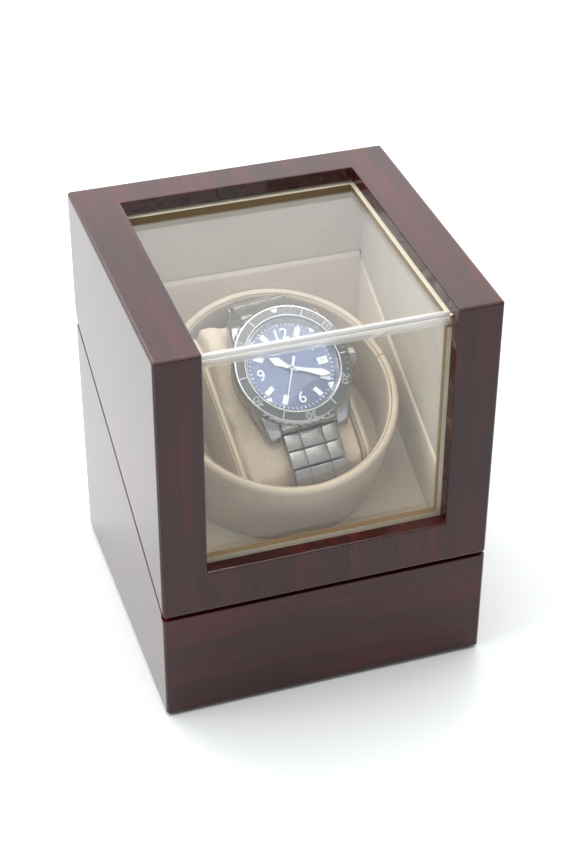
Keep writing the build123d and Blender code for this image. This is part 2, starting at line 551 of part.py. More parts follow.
def loop_path():
    """The middle line of the bracelet from the lower lugs round the pillow to the upper ones."""
    start = (watch_at * Pos(0, -22.4, -9.4)).position
    end = (watch_at * Pos(0, 22.4, -9.4)).position
    front, back, under = CUP_S - half_loop, CUP_S + half_loop, PILLOW_UNDER - BAND_T / 2 - 0.4
    corners = [(start.Y, start.Z), (front + 0.3, 16.5), (front, under), (back, under), (back, 27.0), (end.Y, end.Z)]
    return FilletPolyline(*corners, radius=6.0)


path = loop_path()
link_count = int(path.length / LINK_PITCH)
THREE = [(-BAND_W / 2, -BAND_W / 6 - 0.9), (-BAND_W / 6 - 0.8, BAND_W / 6 + 0.8), (BAND_W / 6 + 0.9, BAND_W / 2)]
links = []
for index in range(link_count):
    place = path.location_at((index + 0.5) / link_count)
    at, along = place.position, path.tangent_at((index + 0.5) / link_count)
    tilt = degrees(atan2(along.Y, along.X))
    for a, b in THREE:
        piece = block(a, b, -LINK_PITCH / 2 + 0.25, LINK_PITCH / 2 - 0.25, -BAND_T / 2, BAND_T / 2)
        links.append(on_pillow(Pos(WATCH_X, at.X, at.Y) * Rot(tilt, 0, 0) * piece))
save("watch_bracelet", *links)

# ---------------------------------------------------------------- controls in the back
SWITCH_X, JACK_X, CONTROL_Z = (-16.0, 4.0), 21.0, 36.0
SLOT_W, SLOT_H, KNOB_W, KNOB_H, JACK_R = 9.0, 3.2, 4.0, 2.8, 4.0
plate_front = PLATE_Y + 2.0
plate = block(-PLATE_X, PLATE_X, PLATE_Y + 0.02, plate_front, PLATE_Z0, PLATE_Z1)
plate = fillet(plate.edges().filter_by(Axis.Y), 2)
for x in SWITCH_X:
    plate -= block(x - SLOT_W / 2, x + SLOT_W / 2, 50, 70, CONTROL_Z - SLOT_H / 2, CONTROL_Z + SLOT_H / 2)


def along_y(r, y0, y1, x, z):
    """A cylinder along Y."""
    return Pos(x, (y0 + y1) / 2, z) * Rot(90, 0, 0) * Cylinder(r, y1 - y0)


def case_screw(x, z, extra=0.0):
    """A pan-head screw that holds the control plate from behind the box."""
    return along_y(1.0 + extra, PLATE_Y - 6 - extra, plate_front + 0.02, x, z) + \
        along_y(1.6 + extra, plate_front - 0.6, plate_front + 0.5, x, z)


plate -= along_y(JACK_R + 0.05, 50, 70, JACK_X, CONTROL_Z)
plate_screw_at = [(x, z) for x in (-PLATE_X + 2.6, PLATE_X - 2.6) for z in (PLATE_Z0 + 2.6, PLATE_Z1 - 2.6)]
for x, z in plate_screw_at:
    plate -= case_screw(x, z, SCREW_CLEAR)
    base_back -= case_screw(x, z, SCREW_CLEAR)
save("rear_plate", plate)
save("base_back", base_back)
save("base_screws", *(base_screws + [case_screw(x, z) for x, z in plate_screw_at]))

BOARD_Y = 47.0
housings, knobs = [], []
for x in SWITCH_X:
    housing = block(x - 7, x + 7, BOARD_Y + 1.6, PLATE_Y, CONTROL_Z - 4, CONTROL_Z + 4)
    housings.append(housing - block(x - SLOT_W / 2, x + SLOT_W / 2, PLATE_Y - 4, 70,
                                    CONTROL_Z - SLOT_H / 2, CONTROL_Z + SLOT_H / 2))
    knob = block(x - KNOB_W / 2, x + KNOB_W / 2, PLATE_Y - 3.5, HALF_Y - 0.1, CONTROL_Z - KNOB_H / 2,
                 CONTROL_Z + KNOB_H / 2)
    ridges = [block(x + dx - 0.2, x + dx + 0.2, HALF_Y - 0.4, 70, 0, 90) for dx in (-1.2, -0.4, 0.4, 1.2)]
    for ridge in ridges:
        knob -= ridge
    knobs.append(knob)
save("switch_housings", *housings)
save("direction_switch_knob", knobs[0])
save("program_switch_knob", knobs[1])
jack = block(JACK_X - 5, JACK_X + 5, BOARD_Y + 1.6, PLATE_Y, CONTROL_Z - 5, CONTROL_Z + 5)
jack += along_y(JACK_R, PLATE_Y - 1, plate_front + 0.4, JACK_X, CONTROL_Z)
jack -= along_y(2.75, PLATE_Y - 7, 70, JACK_X, CONTROL_Z)
jack += along_y(1.0, PLATE_Y - 7.5, plate_front - 1, JACK_X, CONTROL_Z)
save("power_jack", jack)
save("control_board", block(-27, 27, BOARD_Y, BOARD_Y + 1.58, PLATE_Z0 + 4.5, PLATE_Z1 - 4.5))
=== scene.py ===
import json
from math import atan, atan2, cos, pi, radians, sin

import bmesh
import bpy
from mathutils import Matrix, Vector, noise


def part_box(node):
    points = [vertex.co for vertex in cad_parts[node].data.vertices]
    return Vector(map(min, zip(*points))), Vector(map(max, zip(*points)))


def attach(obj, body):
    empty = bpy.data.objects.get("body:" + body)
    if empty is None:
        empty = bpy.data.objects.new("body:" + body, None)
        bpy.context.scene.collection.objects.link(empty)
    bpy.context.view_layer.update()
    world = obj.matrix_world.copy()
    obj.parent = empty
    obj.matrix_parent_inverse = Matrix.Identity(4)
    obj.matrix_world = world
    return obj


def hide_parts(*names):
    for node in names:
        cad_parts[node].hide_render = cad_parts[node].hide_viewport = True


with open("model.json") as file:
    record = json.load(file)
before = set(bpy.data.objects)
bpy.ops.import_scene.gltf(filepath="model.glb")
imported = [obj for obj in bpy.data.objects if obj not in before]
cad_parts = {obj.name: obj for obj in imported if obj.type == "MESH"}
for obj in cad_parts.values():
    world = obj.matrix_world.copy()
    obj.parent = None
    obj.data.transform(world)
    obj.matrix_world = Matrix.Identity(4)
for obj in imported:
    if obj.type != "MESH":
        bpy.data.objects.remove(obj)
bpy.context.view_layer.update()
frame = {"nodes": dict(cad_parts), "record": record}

# ------------------------------------------------------------------ studio
# A pale table with a soft sheen, lit by large white panels over the box, behind it and at its
# left, as for a catalogue picture. The camera looks down on the box from its left front corner.
EYE = Vector((-0.1863, -0.5700, 0.5064))
AIM = Vector((0.0046, -0.0003, 0.0744))
CAMERA_ROLL = radians(0.3)
scene = bpy.context.scene
camera_data = bpy.data.cameras.new("camera")
camera_data.lens = 80.5
camera = bpy.data.objects.new("camera", camera_data)
aimed = (AIM - EYE).to_track_quat("-Z", "Y").to_matrix().to_4x4()
camera.matrix_world = Matrix.Translation(EYE) @ aimed @ Matrix.Rotation(CAMERA_ROLL, 4, "Z")
scene.collection.objects.link(camera)
scene.camera = camera
scene.view_settings.view_transform = "Standard"


class Wire:
    """The output of a shader node. Arithmetic on it adds Math nodes."""

    def __init__(self, finish, socket):
        self.finish = finish
        self.socket = socket

    def math(self, operation, *others):
        return self.finish.node("Math", {"operation": operation}, dict(enumerate((self,) + others)))

    def __add__(self, other):
        return self.math("ADD", other)

    def __mul__(self, other):
        return self.math("MULTIPLY", other)

    def __sub__(self, other):
        return self.math("SUBTRACT", other)

    def __rsub__(self, other):
        return self.math("MULTIPLY_ADD", -1.0, other)

    __radd__ = __add__
    __rmul__ = __mul__

    def fade(self, start, end):
        """0 below start and 1 over end, with a soft step between."""
        soft = {"interpolation_type": "SMOOTHSTEP"}
        return self.finish.node("MapRange", soft, {0: self, 1: start, 2: end})


class Finish:
    """A surface's shader nodes: node() adds one, and set() feeds the Principled BSDF."""

    def __init__(self, name, **constants):
        self.material = bpy.data.materials.new(name)
        self.material.use_nodes = True
        self.tree = self.material.node_tree
        self.set(**constants)

    def set(self, **values):
        """Give the surface's sockets, named with underscores for spaces, a value or a wire."""
        for name, value in values.items():
            socket = name.replace("_", " ").title().replace("Ior", "IOR")
            self.feed(self.tree.nodes["Principled BSDF"].inputs[socket], value)

    def feed(self, socket, value):
        if isinstance(value, Wire):
            self.tree.links.new(value.socket, socket)
        else:
            socket.default_value = value

    def node(self, kind, settings=None, inputs=None, out=0):
        made = self.tree.nodes.new("ShaderNode" + kind)
        for name, value in (settings or {}).items():
            setattr(made, name, value)
        for socket, value in (inputs or {}).items():
            self.feed(made.inputs[socket], value)
        return Wire(self, made.outputs[out])

    def place(self, scale=(1, 1, 1), shift=(0, 0, 0)):
        """Object coordinates, scaled and moved."""
        return self.node("Mapping", {}, {0: self.node("TexCoord", out=3), 1: shift, 3: scale})

    def within(self, axes):
        """Coordinates along axes that are fixed to the object, in metres."""
        return self.node("Mapping", {"vector_type": "TEXTURE"}, {
            0: self.node("TexCoord", out=3), 1: tuple(axes.translation), 2: tuple(axes.to_euler())})

    def noise(self, place, scale, detail=3.0, roughness=0.55, distortion=0.0):
        return self.node("TexNoise", {}, {"Vector": place, "Scale": scale, "Detail": detail,
                                          "Roughness": roughness, "Distortion": distortion})

    def mix(self, factor, first, second):
        """A colour between two colours."""
        return self.node("Mix", {"data_type": "RGBA"}, {0: factor, 6: first, 7: second}, out=2)

    def bump(self, height, strength, distance, over=None):
        inputs = {"Strength": strength, "Distance": distance, "Height": height}
        return self.node("Bump", {}, {**inputs, "Normal": over} if over else inputs)


def display(red, green, blue):
    """A linear colour from the 0 to 255 values that a screen shows."""
    return (*[((v / 255 + 0.055) / 1.055) ** 2.4 for v in (red, green, blue)], 1.0)


def table_finish():
    """White laminate with a soft sheen."""
    made = Finish("table_top", specular_ior_level=0.5)
    cloudy = made.noise(made.place(), 3.0, 2.0)
    tone = made.mix(cloudy, (0.59, 0.605, 0.612, 1), (0.62, 0.634, 0.64, 1))
    made.set(base_color=tone, roughness=cloudy * 0.1 + 0.2)
    return made


TABLE_HALF = 6.0
table_mesh = bpy.data.meshes.new("table_top")
bm = bmesh.new()
bmesh.ops.create_grid(bm, x_segments=1, y_segments=1, size=TABLE_HALF)
bm.to_mesh(table_mesh)
bm.free()
table_top = bpy.data.objects.new("table_top", table_mesh)
scene.collection.objects.link(table_top)
table_mesh.materials.append(table_finish().material)


def panel_light(name, place, aim, size, power):
    """A square light panel that faces a point."""
    data = bpy.data.lights.new(name, "AREA")
    data.energy = power
    data.size = size
    lamp = bpy.data.objects.new(name, data)
    facing = (Vector(aim) - Vector(place)).to_track_quat("-Z", "Y").to_matrix().to_4x4()
    lamp.matrix_world = Matrix.Translation(place) @ facing
    scene.collection.objects.link(lamp)


panel_light("back_panel", (-0.45, 0.95, 1.25), (0.0, 0.05, 0.0), 0.9, 9.0)
panel_light("top_panel", (0.15, 0.1, 1.7), (0.0, 0.0, 0.1), 1.6, 15.0)
panel_light("left_panel", (-0.9, -0.05, 1.3), (0.03, 0.0, 0.1), 0.7, 9.0)

# The tent round the box is brightest high up behind it and fades towards the front.
BRIGHT_SIDE = (0.05, 0.72, 0.69)
FADE_FROM, FADE_TO, DIM, BRIGHT = -0.2, 0.95, 0.56, 2.05
world = bpy.data.worlds.new("white_tent")
scene.world = world
world.use_nodes = True
nodes = world.node_tree.nodes
links = world.node_tree.links
where = nodes.new("ShaderNodeTexCoord")
towards = nodes.new("ShaderNodeVectorMath")
towards.operation = "DOT_PRODUCT"
towards.inputs[1].default_value = BRIGHT_SIDE
level = nodes.new("ShaderNodeMapRange")
level.interpolation_type = "SMOOTHSTEP"
for number, value in enumerate((FADE_FROM, FADE_TO, DIM, BRIGHT), start=1):
    level.inputs[number].default_value = value
links.new(where.outputs["Generated"], towards.inputs[0])
links.new(towards.outputs["Value"], level.inputs[0])
links.new(level.outputs[0], nodes["Background"].inputs["Strength"])
nodes["Background"].inputs["Color"].default_value = (0.985, 0.99, 1.0, 1)

# ------------------------------------------------------------------ lacquered panels
# The case is mitred fibre board under a red-brown wood-effect foil, with many coats of clear
# lacquer polished to a mirror. The grain runs along each panel.
GRAIN_ALONG = {"x": (1.0, 13, 13), "y": (13, 1.0, 13), "z": (13, 13, 1.0)}
EDGE_R = 0.0006


def paint(finish, *names):
    """Give CAD nodes a finish."""
    for name in names:
        materials = frame["nodes"][name].data.materials
        materials.clear()
        materials.append(finish.material)


def lacquer(name, along, seed):
    """Dark red-brown wood under polished lacquer, with the grain along one axis."""
    made = Finish(name, ior=1.46)
    place = made.place(GRAIN_ALONG[along], (seed, seed * 0.7, seed * 0.4))
    bands = made.noise(place, 8.0, 5.0, 0.62, 0.5)
    pores = made.noise(place, 55.0, 3.0, 0.7)
    clouds = made.noise(made.place(), 16.0, 2.0)
    figure = (bands + clouds * 0.5 - 0.25).fade(0.3, 0.8)
    red = made.mix(figure, display(40, 14, 13), display(68, 19, 18))
    made.set(base_color=made.mix(pores.fade(0.52, 0.74) * 0.4, red, display(24, 11, 11)))
    dust = made.noise(made.place(), 900.0, 2.0)
    made.set(roughness=dust.fade(0.35, 0.8) * 0.03 + 0.03)
    waves = made.noise(made.place(), 40.0, 1.0)
    rounded = made.node("Bevel", {"samples": 6}, {"Radius": EDGE_R})
    made.set(normal=made.bump(waves, 0.02, 0.0006, rounded))
    return made


paint(lacquer("lacquer_grain_across", "x", 0.0), "base_front", "base_back", "lid_back_panel")
paint(lacquer("lacquer_grain_back", "y", 3.1), "base_left_side", "base_right_side", "lid_top_frame")
paint(lacquer("lacquer_grain_up", "z", 7.7), "lid_left_side", "lid_right_side", "lid_front_frame")

# ------------------------------------------------------------------ floor board and feet
# The bottom is a board covered in black felt, let in between the walls. It stands on four thin
# rubber pads that are glued on.


def fuzz(name, light, dark, scale, strength, **constants):
    """A matt surface of fine fibres or grains between two tones."""
    made = Finish(name, **constants)
    fibres = made.noise(made.place(), scale, 3.0)
    patches = made.noise(made.place(), 30.0, 2.0)
    made.set(base_color=made.mix((fibres * 0.7 + patches * 0.3).fade(0.3, 0.7), dark, light))
    made.set(normal=made.bump(fibres, strength, 0.0003))
    return made


black_felt = fuzz("black_felt", display(50, 49, 52), display(20, 20, 22), 1800.0, 0.5,
                  roughness=0.95, sheen_weight=0.3)
paint(black_felt, "base_floor")
pad_rubber = fuzz("pad_rubber", display(54, 53, 52), display(32, 32, 33), 500.0, 0.2, roughness=0.7)
paint(pad_rubber, "base_feet")

# ------------------------------------------------------------------ suede parts glued to the case
# Thin boards line the lid and stand up as a collar round the base, and a board makes the deck.
# All are wrapped in short-napped suede cloth, which shows faint strokes where it was brushed.
SEAM_CORE, SEAM_EDGE = 0.00012, 0.00042


def suede(name, light, dark, seed=0.0, axes=None, seams=()):
    """Short-napped cloth between a light and a dark tone. Seams run in planes square to the first
    of the axes, each at a distance to both sides of their origin."""
    made = Finish(name, roughness=0.92, specular_ior_level=0.2, sheen_weight=0.2, sheen_roughness=0.5)
    place = made.place((1, 1, 1), (seed, 0, 0))
    strokes = made.noise(place, 30.0, 3.0, 0.6, 1.2)
    nap = made.noise(place, 1400.0, 4.0, 0.7)
    shade = strokes.fade(0.35, 0.68) * 0.55 + nap.fade(0.3, 0.7) * 0.45
    colour = made.mix(shade, dark, light)
    height = nap * 0.3
    if seams:
        across = made.node("SeparateXYZ", {}, {0: made.within(axes)}).math("ABSOLUTE")
        for seam in seams:
            line = 1 - (across - seam).math("ABSOLUTE").fade(SEAM_CORE, SEAM_EDGE)
            colour = made.mix(line * 0.75, colour, display(158, 128, 92))
            height = height - line * 2.0
    made.set(base_color=colour, normal=made.bump(height, 0.7, 0.0003))
    return made


paint(suede("lining_suede", display(194, 185, 170), display(177, 167, 151)),
      "lid_lining_left", "lid_lining_right", "lid_lining_back")
paint(suede("collar_suede", display(224, 213, 194), display(208, 195, 175), 2.0),
      "collar_left", "collar_right", "collar_back", "collar_front", "deck_panel")


def board_finish(name, broad):
    """Suede on a board's broad faces, square to one axis, lightened as painted light, and gold-brown on
    its edges, darkened as painted shade.
    """
    made = Finish(name, roughness=0.75, specular_ior_level=0.3)
    facing = made.node("SeparateXYZ", {}, {0: made.node("TexCoord", out=1)}, out=broad).math("ABSOLUTE")
    nap = made.noise(made.place(), 1400.0, 3.0)
    # painted shade: the edges' gold-brown is darker than their own colour, as they lie in shade
    shaded_gold = made.mix(nap, display(140, 118, 84), display(114, 93, 62))
    # painted light: the broad faces are lighter than the other suede, for the light that falls on them
    # through the pane
    cloth = made.mix(nap, display(244, 234, 212), display(230, 218, 194))
    made.set(base_color=made.mix(facing.fade(0.4, 0.6), shaded_gold, cloth))
    made.set(normal=made.bump(nap, 0.2, 0.0003))
    return made


paint(board_finish("top_board", 2), "lid_lining_top")
paint(board_finish("front_board", 1), "lid_lining_front")

# ------------------------------------------------------------------ window pane
# One sheet of clear cast acrylic, bent hot along the front top edge. It lies in the rebate of
# the lining boards. Its bend and its thickness shift what is seen through it.
MM = Matrix.Scale(0.001, 4)
BEND_STEPS = 14


def piece(name, bm, place, finishes, body, replaced=(), sharp=35):
    """Turn a bmesh, drawn in millimetres in the frame of place, into a piece that rides on a body."""
    bm.transform(place)
    bmesh.ops.recalc_face_normals(bm, faces=bm.faces)
    mesh = bpy.data.meshes.new(name)
    bm.to_mesh(mesh)
    bm.free()
    mesh.polygons.foreach_set("use_smooth", [True] * len(mesh.polygons))
    mesh.set_sharp_from_angle(angle=radians(sharp))
    for finish in finishes:
        mesh.materials.append(finish.material)
    made = bpy.data.objects.new(name, mesh)
    scene.collection.objects.link(made)
    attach(made, body)
    if replaced:
        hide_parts(*replaced)
    return made


def prism(bm, outline, offset):
    """Extrude a flat outline of points into a solid."""
    face = bm.faces.new([bm.verts.new(point) for point in outline])
    far = bmesh.ops.extrude_face_region(bm, geom=[face], use_keep_orig=True)["geom"]
    moved = [item for item in far if isinstance(item, bmesh.types.BMVert)]
    bmesh.ops.translate(bm, verts=moved, vec=offset)


def acrylic():
    """Clear acrylic that bends what is seen through it and lets light through to the inside."""
    made = Finish("clear_acrylic", ior=1.49, transmission_weight=1.0)
    smears = made.noise(made.place((1, 4, 4)), 30.0, 3.0)
    made.set(base_color=(0.995, 1.0, 0.995, 1), roughness=smears.fade(0.55, 0.8) * 0.015)
    shadow = made.node("LightPath", out=1)
    spread = made.node("LightPath", out=2)
    clear = made.node("BsdfTransparent", {}, {0: (0.93, 0.935, 0.93, 1)})
    surface = Wire(made, made.tree.nodes["Principled BSDF"].outputs[0])
    both = made.node("MixShader", {}, {0: shadow.math("MAXIMUM", spread), 1: surface, 2: clear})
    made.tree.links.new(both.socket, made.tree.nodes["Material Output"].inputs["Surface"])
    return made


def bend_finish():
    """The bend, slightly milky from the heat and streaked along its length; its white is made stronger
    as a painted highlight.
    """
    made = Finish("acrylic_bend", ior=1.49, transmission_weight=0.68)
    streaks = made.noise(made.place((1, 60, 60)), 14.0, 3.0)
    # painted highlight: the milky white is partly real whitening from the heat and partly stands in for
    # the bright line of light along the bend
    milky_highlight = made.mix(streaks.fade(0.3, 0.7), (0.72, 0.71, 0.68, 1), (0.95, 0.95, 0.93, 1))
    made.set(base_color=milky_highlight, roughness=streaks * 0.08 + 0.02)
    return made


low, high = (Vector(corner) * 1000 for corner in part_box("window_pane"))
PANE_T, PANE_BEND_R = 3.0, 3.6
bend_y, bend_z = low.y + PANE_BEND_R, high.z - PANE_BEND_R
bend = [pi + pi / 2 * -step / BEND_STEPS for step in range(BEND_STEPS + 1)]
outside = [(low.x, bend_y + PANE_BEND_R * cos(a), bend_z + PANE_BEND_R * sin(a)) for a in bend]
inner_r = PANE_BEND_R - PANE_T
inside = [(low.x, bend_y + inner_r * cos(a), bend_z + inner_r * sin(a)) for a in reversed(bend)]
back_edge = [(low.x, high.y, high.z), (low.x, high.y, high.z - PANE_T)]
outline = [(low.x, low.y, low.z)] + outside + back_edge + inside + [(low.x, low.y + PANE_T, low.z)]
bm = bmesh.new()
prism(bm, outline, (high.x - low.x, 0, 0))
for face in bm.faces:
    middle = face.calc_center_median()
    face.material_index = int(abs(face.normal.x) < 0.5 and middle.y < bend_y and middle.z > bend_z)
piece("pane", bm, MM, [acrylic(), bend_finish()], "lid", ("window_pane",), 30)

# ------------------------------------------------------------------ gearbox, motor and fixings
# Bright-zinc plates, pillars and screws, brass bushes and hinge leaves, white acetal gears, a
# drawn-steel motor can and black moulded controls, all as they come from their makers.


def metal(name, light, dark, rough, streak=(1, 1, 1), scale=300.0):
    """A metal with fine uneven brushing, stretched along the axis whose streak is smallest."""
    made = Finish(name, metallic=1.0)
    grain = made.noise(made.place(streak), scale, 4.0, 0.65)
    wear = made.noise(made.place(), 60.0, 3.0)
    made.set(base_color=made.mix(grain, dark, light), normal=made.bump(grain, 0.03, 0.00005))
    made.set(roughness=grain * 0.12 + wear * 0.08 + (rough - 0.1))
    return made


def moulded(name, light, dark, rough=0.5):
    """Moulded plastic with a fine spark-eroded texture."""
    return fuzz(name, light, dark, 2600.0, 0.12, roughness=rough)


paint(metal("bright_zinc", display(206, 208, 212), display(178, 180, 184), 0.32),
      "gearbox_top_plate", "gearbox_bottom_plate", "gearbox_pillars", "gear_arbors", "spindle",
      "motor_can", "base_screws", "lid_screws", "hinge_pins")
paint(metal("polished_brass", display(222, 188, 112), display(196, 158, 84), 0.24),
      "spindle_bushes", "motor_pinion", "hinge_base_leaves", "hinge_lid_leaves")
paint(moulded("white_acetal", display(234, 231, 220), display(218, 214, 200)),
      "spindle_gear", "second_gear", "first_gear")
paint(moulded("black_plastic", display(46, 46, 48), display(28, 28, 30)),
      "rear_plate", "switch_housings", "power_jack", "direction_switch_knob", "program_switch_knob",
      "drive_hub")
paint(moulded("board_green", display(32, 100, 64), display(16, 74, 44), 0.35), "control_board")


def pine_finish():
    """Planed softwood with its rings running along the cleat."""
    made = Finish("planed_pine", roughness=0.6)
    rings = made.noise(made.place((14, 1.5, 14)), 14.0, 4.0, 0.6, 0.5)
    made.set(base_color=made.mix(rings.fade(0.3, 0.7), display(190, 150, 102), display(222, 192, 148)))
    return made


paint(pine_finish(), "deck_cleats")

# ------------------------------------------------------------------ cup
# A card tube wrapped in suede cloth over a foam roll at the rim. The cloth is turned in over the
# roll and sewn to the lining along its inside, and two short seams cross the roll.
joints = {joint["name"]: joint for joint in frame["record"]["behaviour"]["joints"]}


def axis_frame(joint, right=(1, 0, 0), origin=None):
    """A frame in millimetres on a joint: Z along its axis and X to the right."""
    upward = Vector(joint["axis"]).normalized()
    right = Vector(right).normalized()
    place = Matrix((right, upward.cross(right), upward)).transposed().to_4x4()
    place.translation = Vector(origin or joint["pos_m"])
    return place @ MM


def copy_of(node, place):
    """A CAD node's shape with its faces joined, in a frame of its own."""
    bm = bmesh.new()
    bm.from_mesh(frame["nodes"][node].data)
    bm.transform(place.inverted())
    bmesh.ops.remove_doubles(bm, verts=bm.verts, dist=0.01)
    return bm


def extent(node, place):
    """The lowest and highest corner of a CAD node in a frame of its own."""
    points = [place.inverted() @ vertex.co for vertex in frame["nodes"][node].data.vertices]
    return [Vector(pick(point[i] for point in points) for i in range(3)) for pick in (min, max)]


def spun(outline, steps):
    """A closed outline of (radius, height), turned once round Z."""
    bm = bmesh.new()
    ring = [bm.verts.new((r, 0, z)) for r, z in outline]
    edges = [bm.edges.new(pair) for pair in zip(ring, ring[1:] + ring[:1])]
    bmesh.ops.spin(bm, geom=ring + edges, cent=(0, 0, 0), axis=(0, 0, 1), angle=2 * pi,
                   steps=steps, use_merge=True)
    return bm


cup_place = axis_frame(joints["cup_spin"])
wall_low, wall_high = extent("cup_wall", cup_place)
CUP_WALL, ROLL, CUP_STEPS = 2.6, 3.7, 160
cup_r, cup_low, cup_top = wall_high.x, wall_low.z, extent("cup_rim_pad", cup_place)[1].z
cup_in = cup_r - CUP_WALL
roll_r, roll_z = cup_r + 0.15 - ROLL / 2, cup_top - ROLL / 2
outline = [(cup_r - 0.5, cup_low + 0.02), (cup_r - 0.15, cup_low + 0.35)]
for share in (0.1, 0.22, 0.36, 0.5, 0.64, 0.78, 0.9, 0.97):
    outline.append((cup_r - 0.25 + 0.22 * sin(share * pi), cup_low + share * (roll_z - cup_low - 1.5)))
SEAM_FROM, SEAM_TO, SEAM_DEPTH = 0.64, 0.71, 0.3
turns = [-0.22 + 0.08 * step for step in range(11)]
turns += [SEAM_FROM, (SEAM_FROM + SEAM_TO) / 2, SEAM_TO, 0.78, 0.87, 0.96, 1.06]
for turn in turns:
    reach = ROLL / 2 - SEAM_DEPTH * (SEAM_FROM < turn < SEAM_TO)
    outline.append((roll_r + reach * cos(turn * pi), roll_z + reach * sin(turn * pi)))
for share in (0.93, 0.85, 0.6, 0.35, 0.1, 0.02):
    outline.append((cup_in - 0.25, cup_low + share * (roll_z - cup_low)))
bm = spun(outline, CUP_STEPS)
for vertex in bm.verts:
    away = Vector((vertex.co.x, vertex.co.y, 0)).normalized()
    broad, fine = noise.noise(vertex.co * 0.05), noise.noise(vertex.co * 0.16)
    vertex.co += away * (broad * 0.14 + fine * 0.05 + 0.05)
bm.normal_update()
for face in bm.faces:
    centre = face.calc_center_median()
    turn = atan2(centre.z - roll_z, Vector((centre.x, centre.y)).length - roll_r) / pi
    face.material_index = 1 if SEAM_FROM < turn < SEAM_TO else 2 * int(centre.z > roll_z - 0.6)
cup_tones = display(206, 192, 172), display(189, 173, 152)
cup_suede = suede("cup_suede", *cup_tones, 5.0)
rim_seams = cup_place @ Matrix.Rotation(radians(100), 4, "Z")
rim_suede = suede("rim_suede", *cup_tones, 5.0, rim_seams, (0.0,))
seam_thread = suede("seam_thread", display(160, 134, 100), display(140, 114, 82), 6.0)
cup_skin = piece("cup_skin", bm, cup_place, [cup_suede, seam_thread, rim_suede], "cup",
                 ("cup_wall", "cup_rim_pad"), 60)
paint(cup_suede, "cup_floor")

# ------------------------------------------------------------------ pillow
# A foam block wrapped in suede between two stiff foam ends, which are wrapped too and sewn on.
# The watch's band holds the cover down along the middle, and it swells beside the band.
crown_axis = joints["crown_turn"]["axis"]
pillow_place = axis_frame(joints["pillow_pull"], crown_axis, joints["cup_spin"]["pos_m"])
pillow_suede = suede("pillow_suede", display(213, 198, 176), display(196, 179, 156), 9.0)


def inflate(made, voxel, pressure, cap):
    """Swell a closed piece as stuffing swells its cover, moving no point by more than a cap."""
    remesh = made.modifiers.new("cells", "REMESH")
    remesh.mode = "VOXEL"
    remesh.voxel_size = voxel
    bpy.context.view_layer.objects.active = made
    bpy.ops.object.modifier_apply(modifier=remesh.name)
    before = [vertex.co.copy() for vertex in made.data.vertices]
    cloth = made.modifiers.new("cover", "CLOTH")
    cloth.settings.use_pressure = True
    cloth.settings.uniform_pressure_force = pressure
    cloth.settings.effector_weights.gravity = 0
    cloth.point_cache.frame_start, cloth.point_cache.frame_end = 1, 20
    for number in range(1, 21):
        scene.frame_set(number)
    bpy.ops.object.modifier_apply(modifier=cloth.name)
    scene.frame_set(1)
    for vertex, start in zip(made.data.vertices, before):
        moved = vertex.co - start
        vertex.co = start + moved * min(1.0, cap / max(moved.length, 1e-9))
    smoother = made.modifiers.new("round", "SUBSURF")
    smoother.levels = smoother.render_levels = 1
    bpy.ops.object.modifier_apply(modifier=smoother.name)
    made.data.polygons.foreach_set("use_smooth", [True] * len(made.data.polygons))


def smooth_step(value, start, end):
    """0 below start and 1 over end, with a soft step between."""
    share = min(1.0, max(0.0, (value - start) / (end - start)))
    return share * share * (3 - 2 * share)


BAND_HALF, SWELL = 11.5, 2.6
bm = copy_of("pillow_cushion", pillow_place)
cushion_low, cushion_high = extent("pillow_cushion", pillow_place)
middle = (cushion_low + cushion_high) / 2
bmesh.ops.scale(bm, vec=(0.975, 0.975, 0.965), verts=bm.verts, space=Matrix.Translation(-middle))
pillow = piece("pillow", bm, pillow_place, [pillow_suede], "pillow", ("pillow_cushion",), 60)
inflate(pillow, 0.0018, 6.0, 0.0022)
for vertex in pillow.data.vertices:
    at = pillow_place.inverted() @ vertex.co
    beside = smooth_step(abs(at.x), BAND_HALF, BAND_HALF + 6)
    beside *= smooth_step(at.z, 8.0, cushion_high.z - 4)
    rise = SWELL * beside * smooth_step(at.y, -30.0, 25.0)
    vertex.co += pillow_place.to_3x3() @ Vector((0, 0, rise))

bm = copy_of("pillow_end_plates", pillow_place)
bmesh.ops.dissolve_limit(bm, angle_limit=radians(4), verts=bm.verts, edges=bm.edges)
rims = [edge for edge in bm.edges if edge.calc_face_angle(0) > radians(50)]
bmesh.ops.bevel(bm, geom=rims, offset=0.9, segments=4, profile=0.5, affect="EDGES", material=-1,
                clamp_overlap=True)
SEAM_INSET = 0.6
plate_in = (cushion_high.x + SEAM_INSET) * 0.001
plate_out = (extent("pillow_end_plates", pillow_place)[1].x - SEAM_INSET) * 0.001
end_suede = suede("end_suede", display(220, 206, 184), display(203, 187, 163), 9.0,
                  pillow_place, (plate_in, plate_out))
pillow_ends = piece("pillow_ends", bm, pillow_place, [end_suede], "pillow",
                    ("pillow_end_plates",), 50)

# ------------------------------------------------------------------ watch case
# Turned and milled from stainless bar, brushed on top and polished on the slopes. Four lugs
# flow out of its sides, and two solid links fill the space between them.
watch_place = axis_frame(joints["bezel_turn"], crown_axis)
watch_steel = metal("watch_steel", display(170, 170, 170), display(146, 146, 147), 0.2,
                    (1, 5, 5), 900.0)
CASE_R, CASE_UNDER, CASE_TOP, BACK_R, CASE_BACK = 21.6, -10.5, -3.1, 18.0, -12.5


def carve(bm, point, normal):
    """Cut away what lies beyond a plane, and close the cut."""
    cut = bmesh.ops.bisect_plane(bm, geom=bm.verts[:] + bm.edges[:] + bm.faces[:], plane_co=point,
                                 plane_no=normal, clear_outer=True)["geom_cut"]
    rim = [item for item in cut if isinstance(item, bmesh.types.BMEdge)]
    bmesh.ops.holes_fill(bm, edges=rim, sides=len(rim))


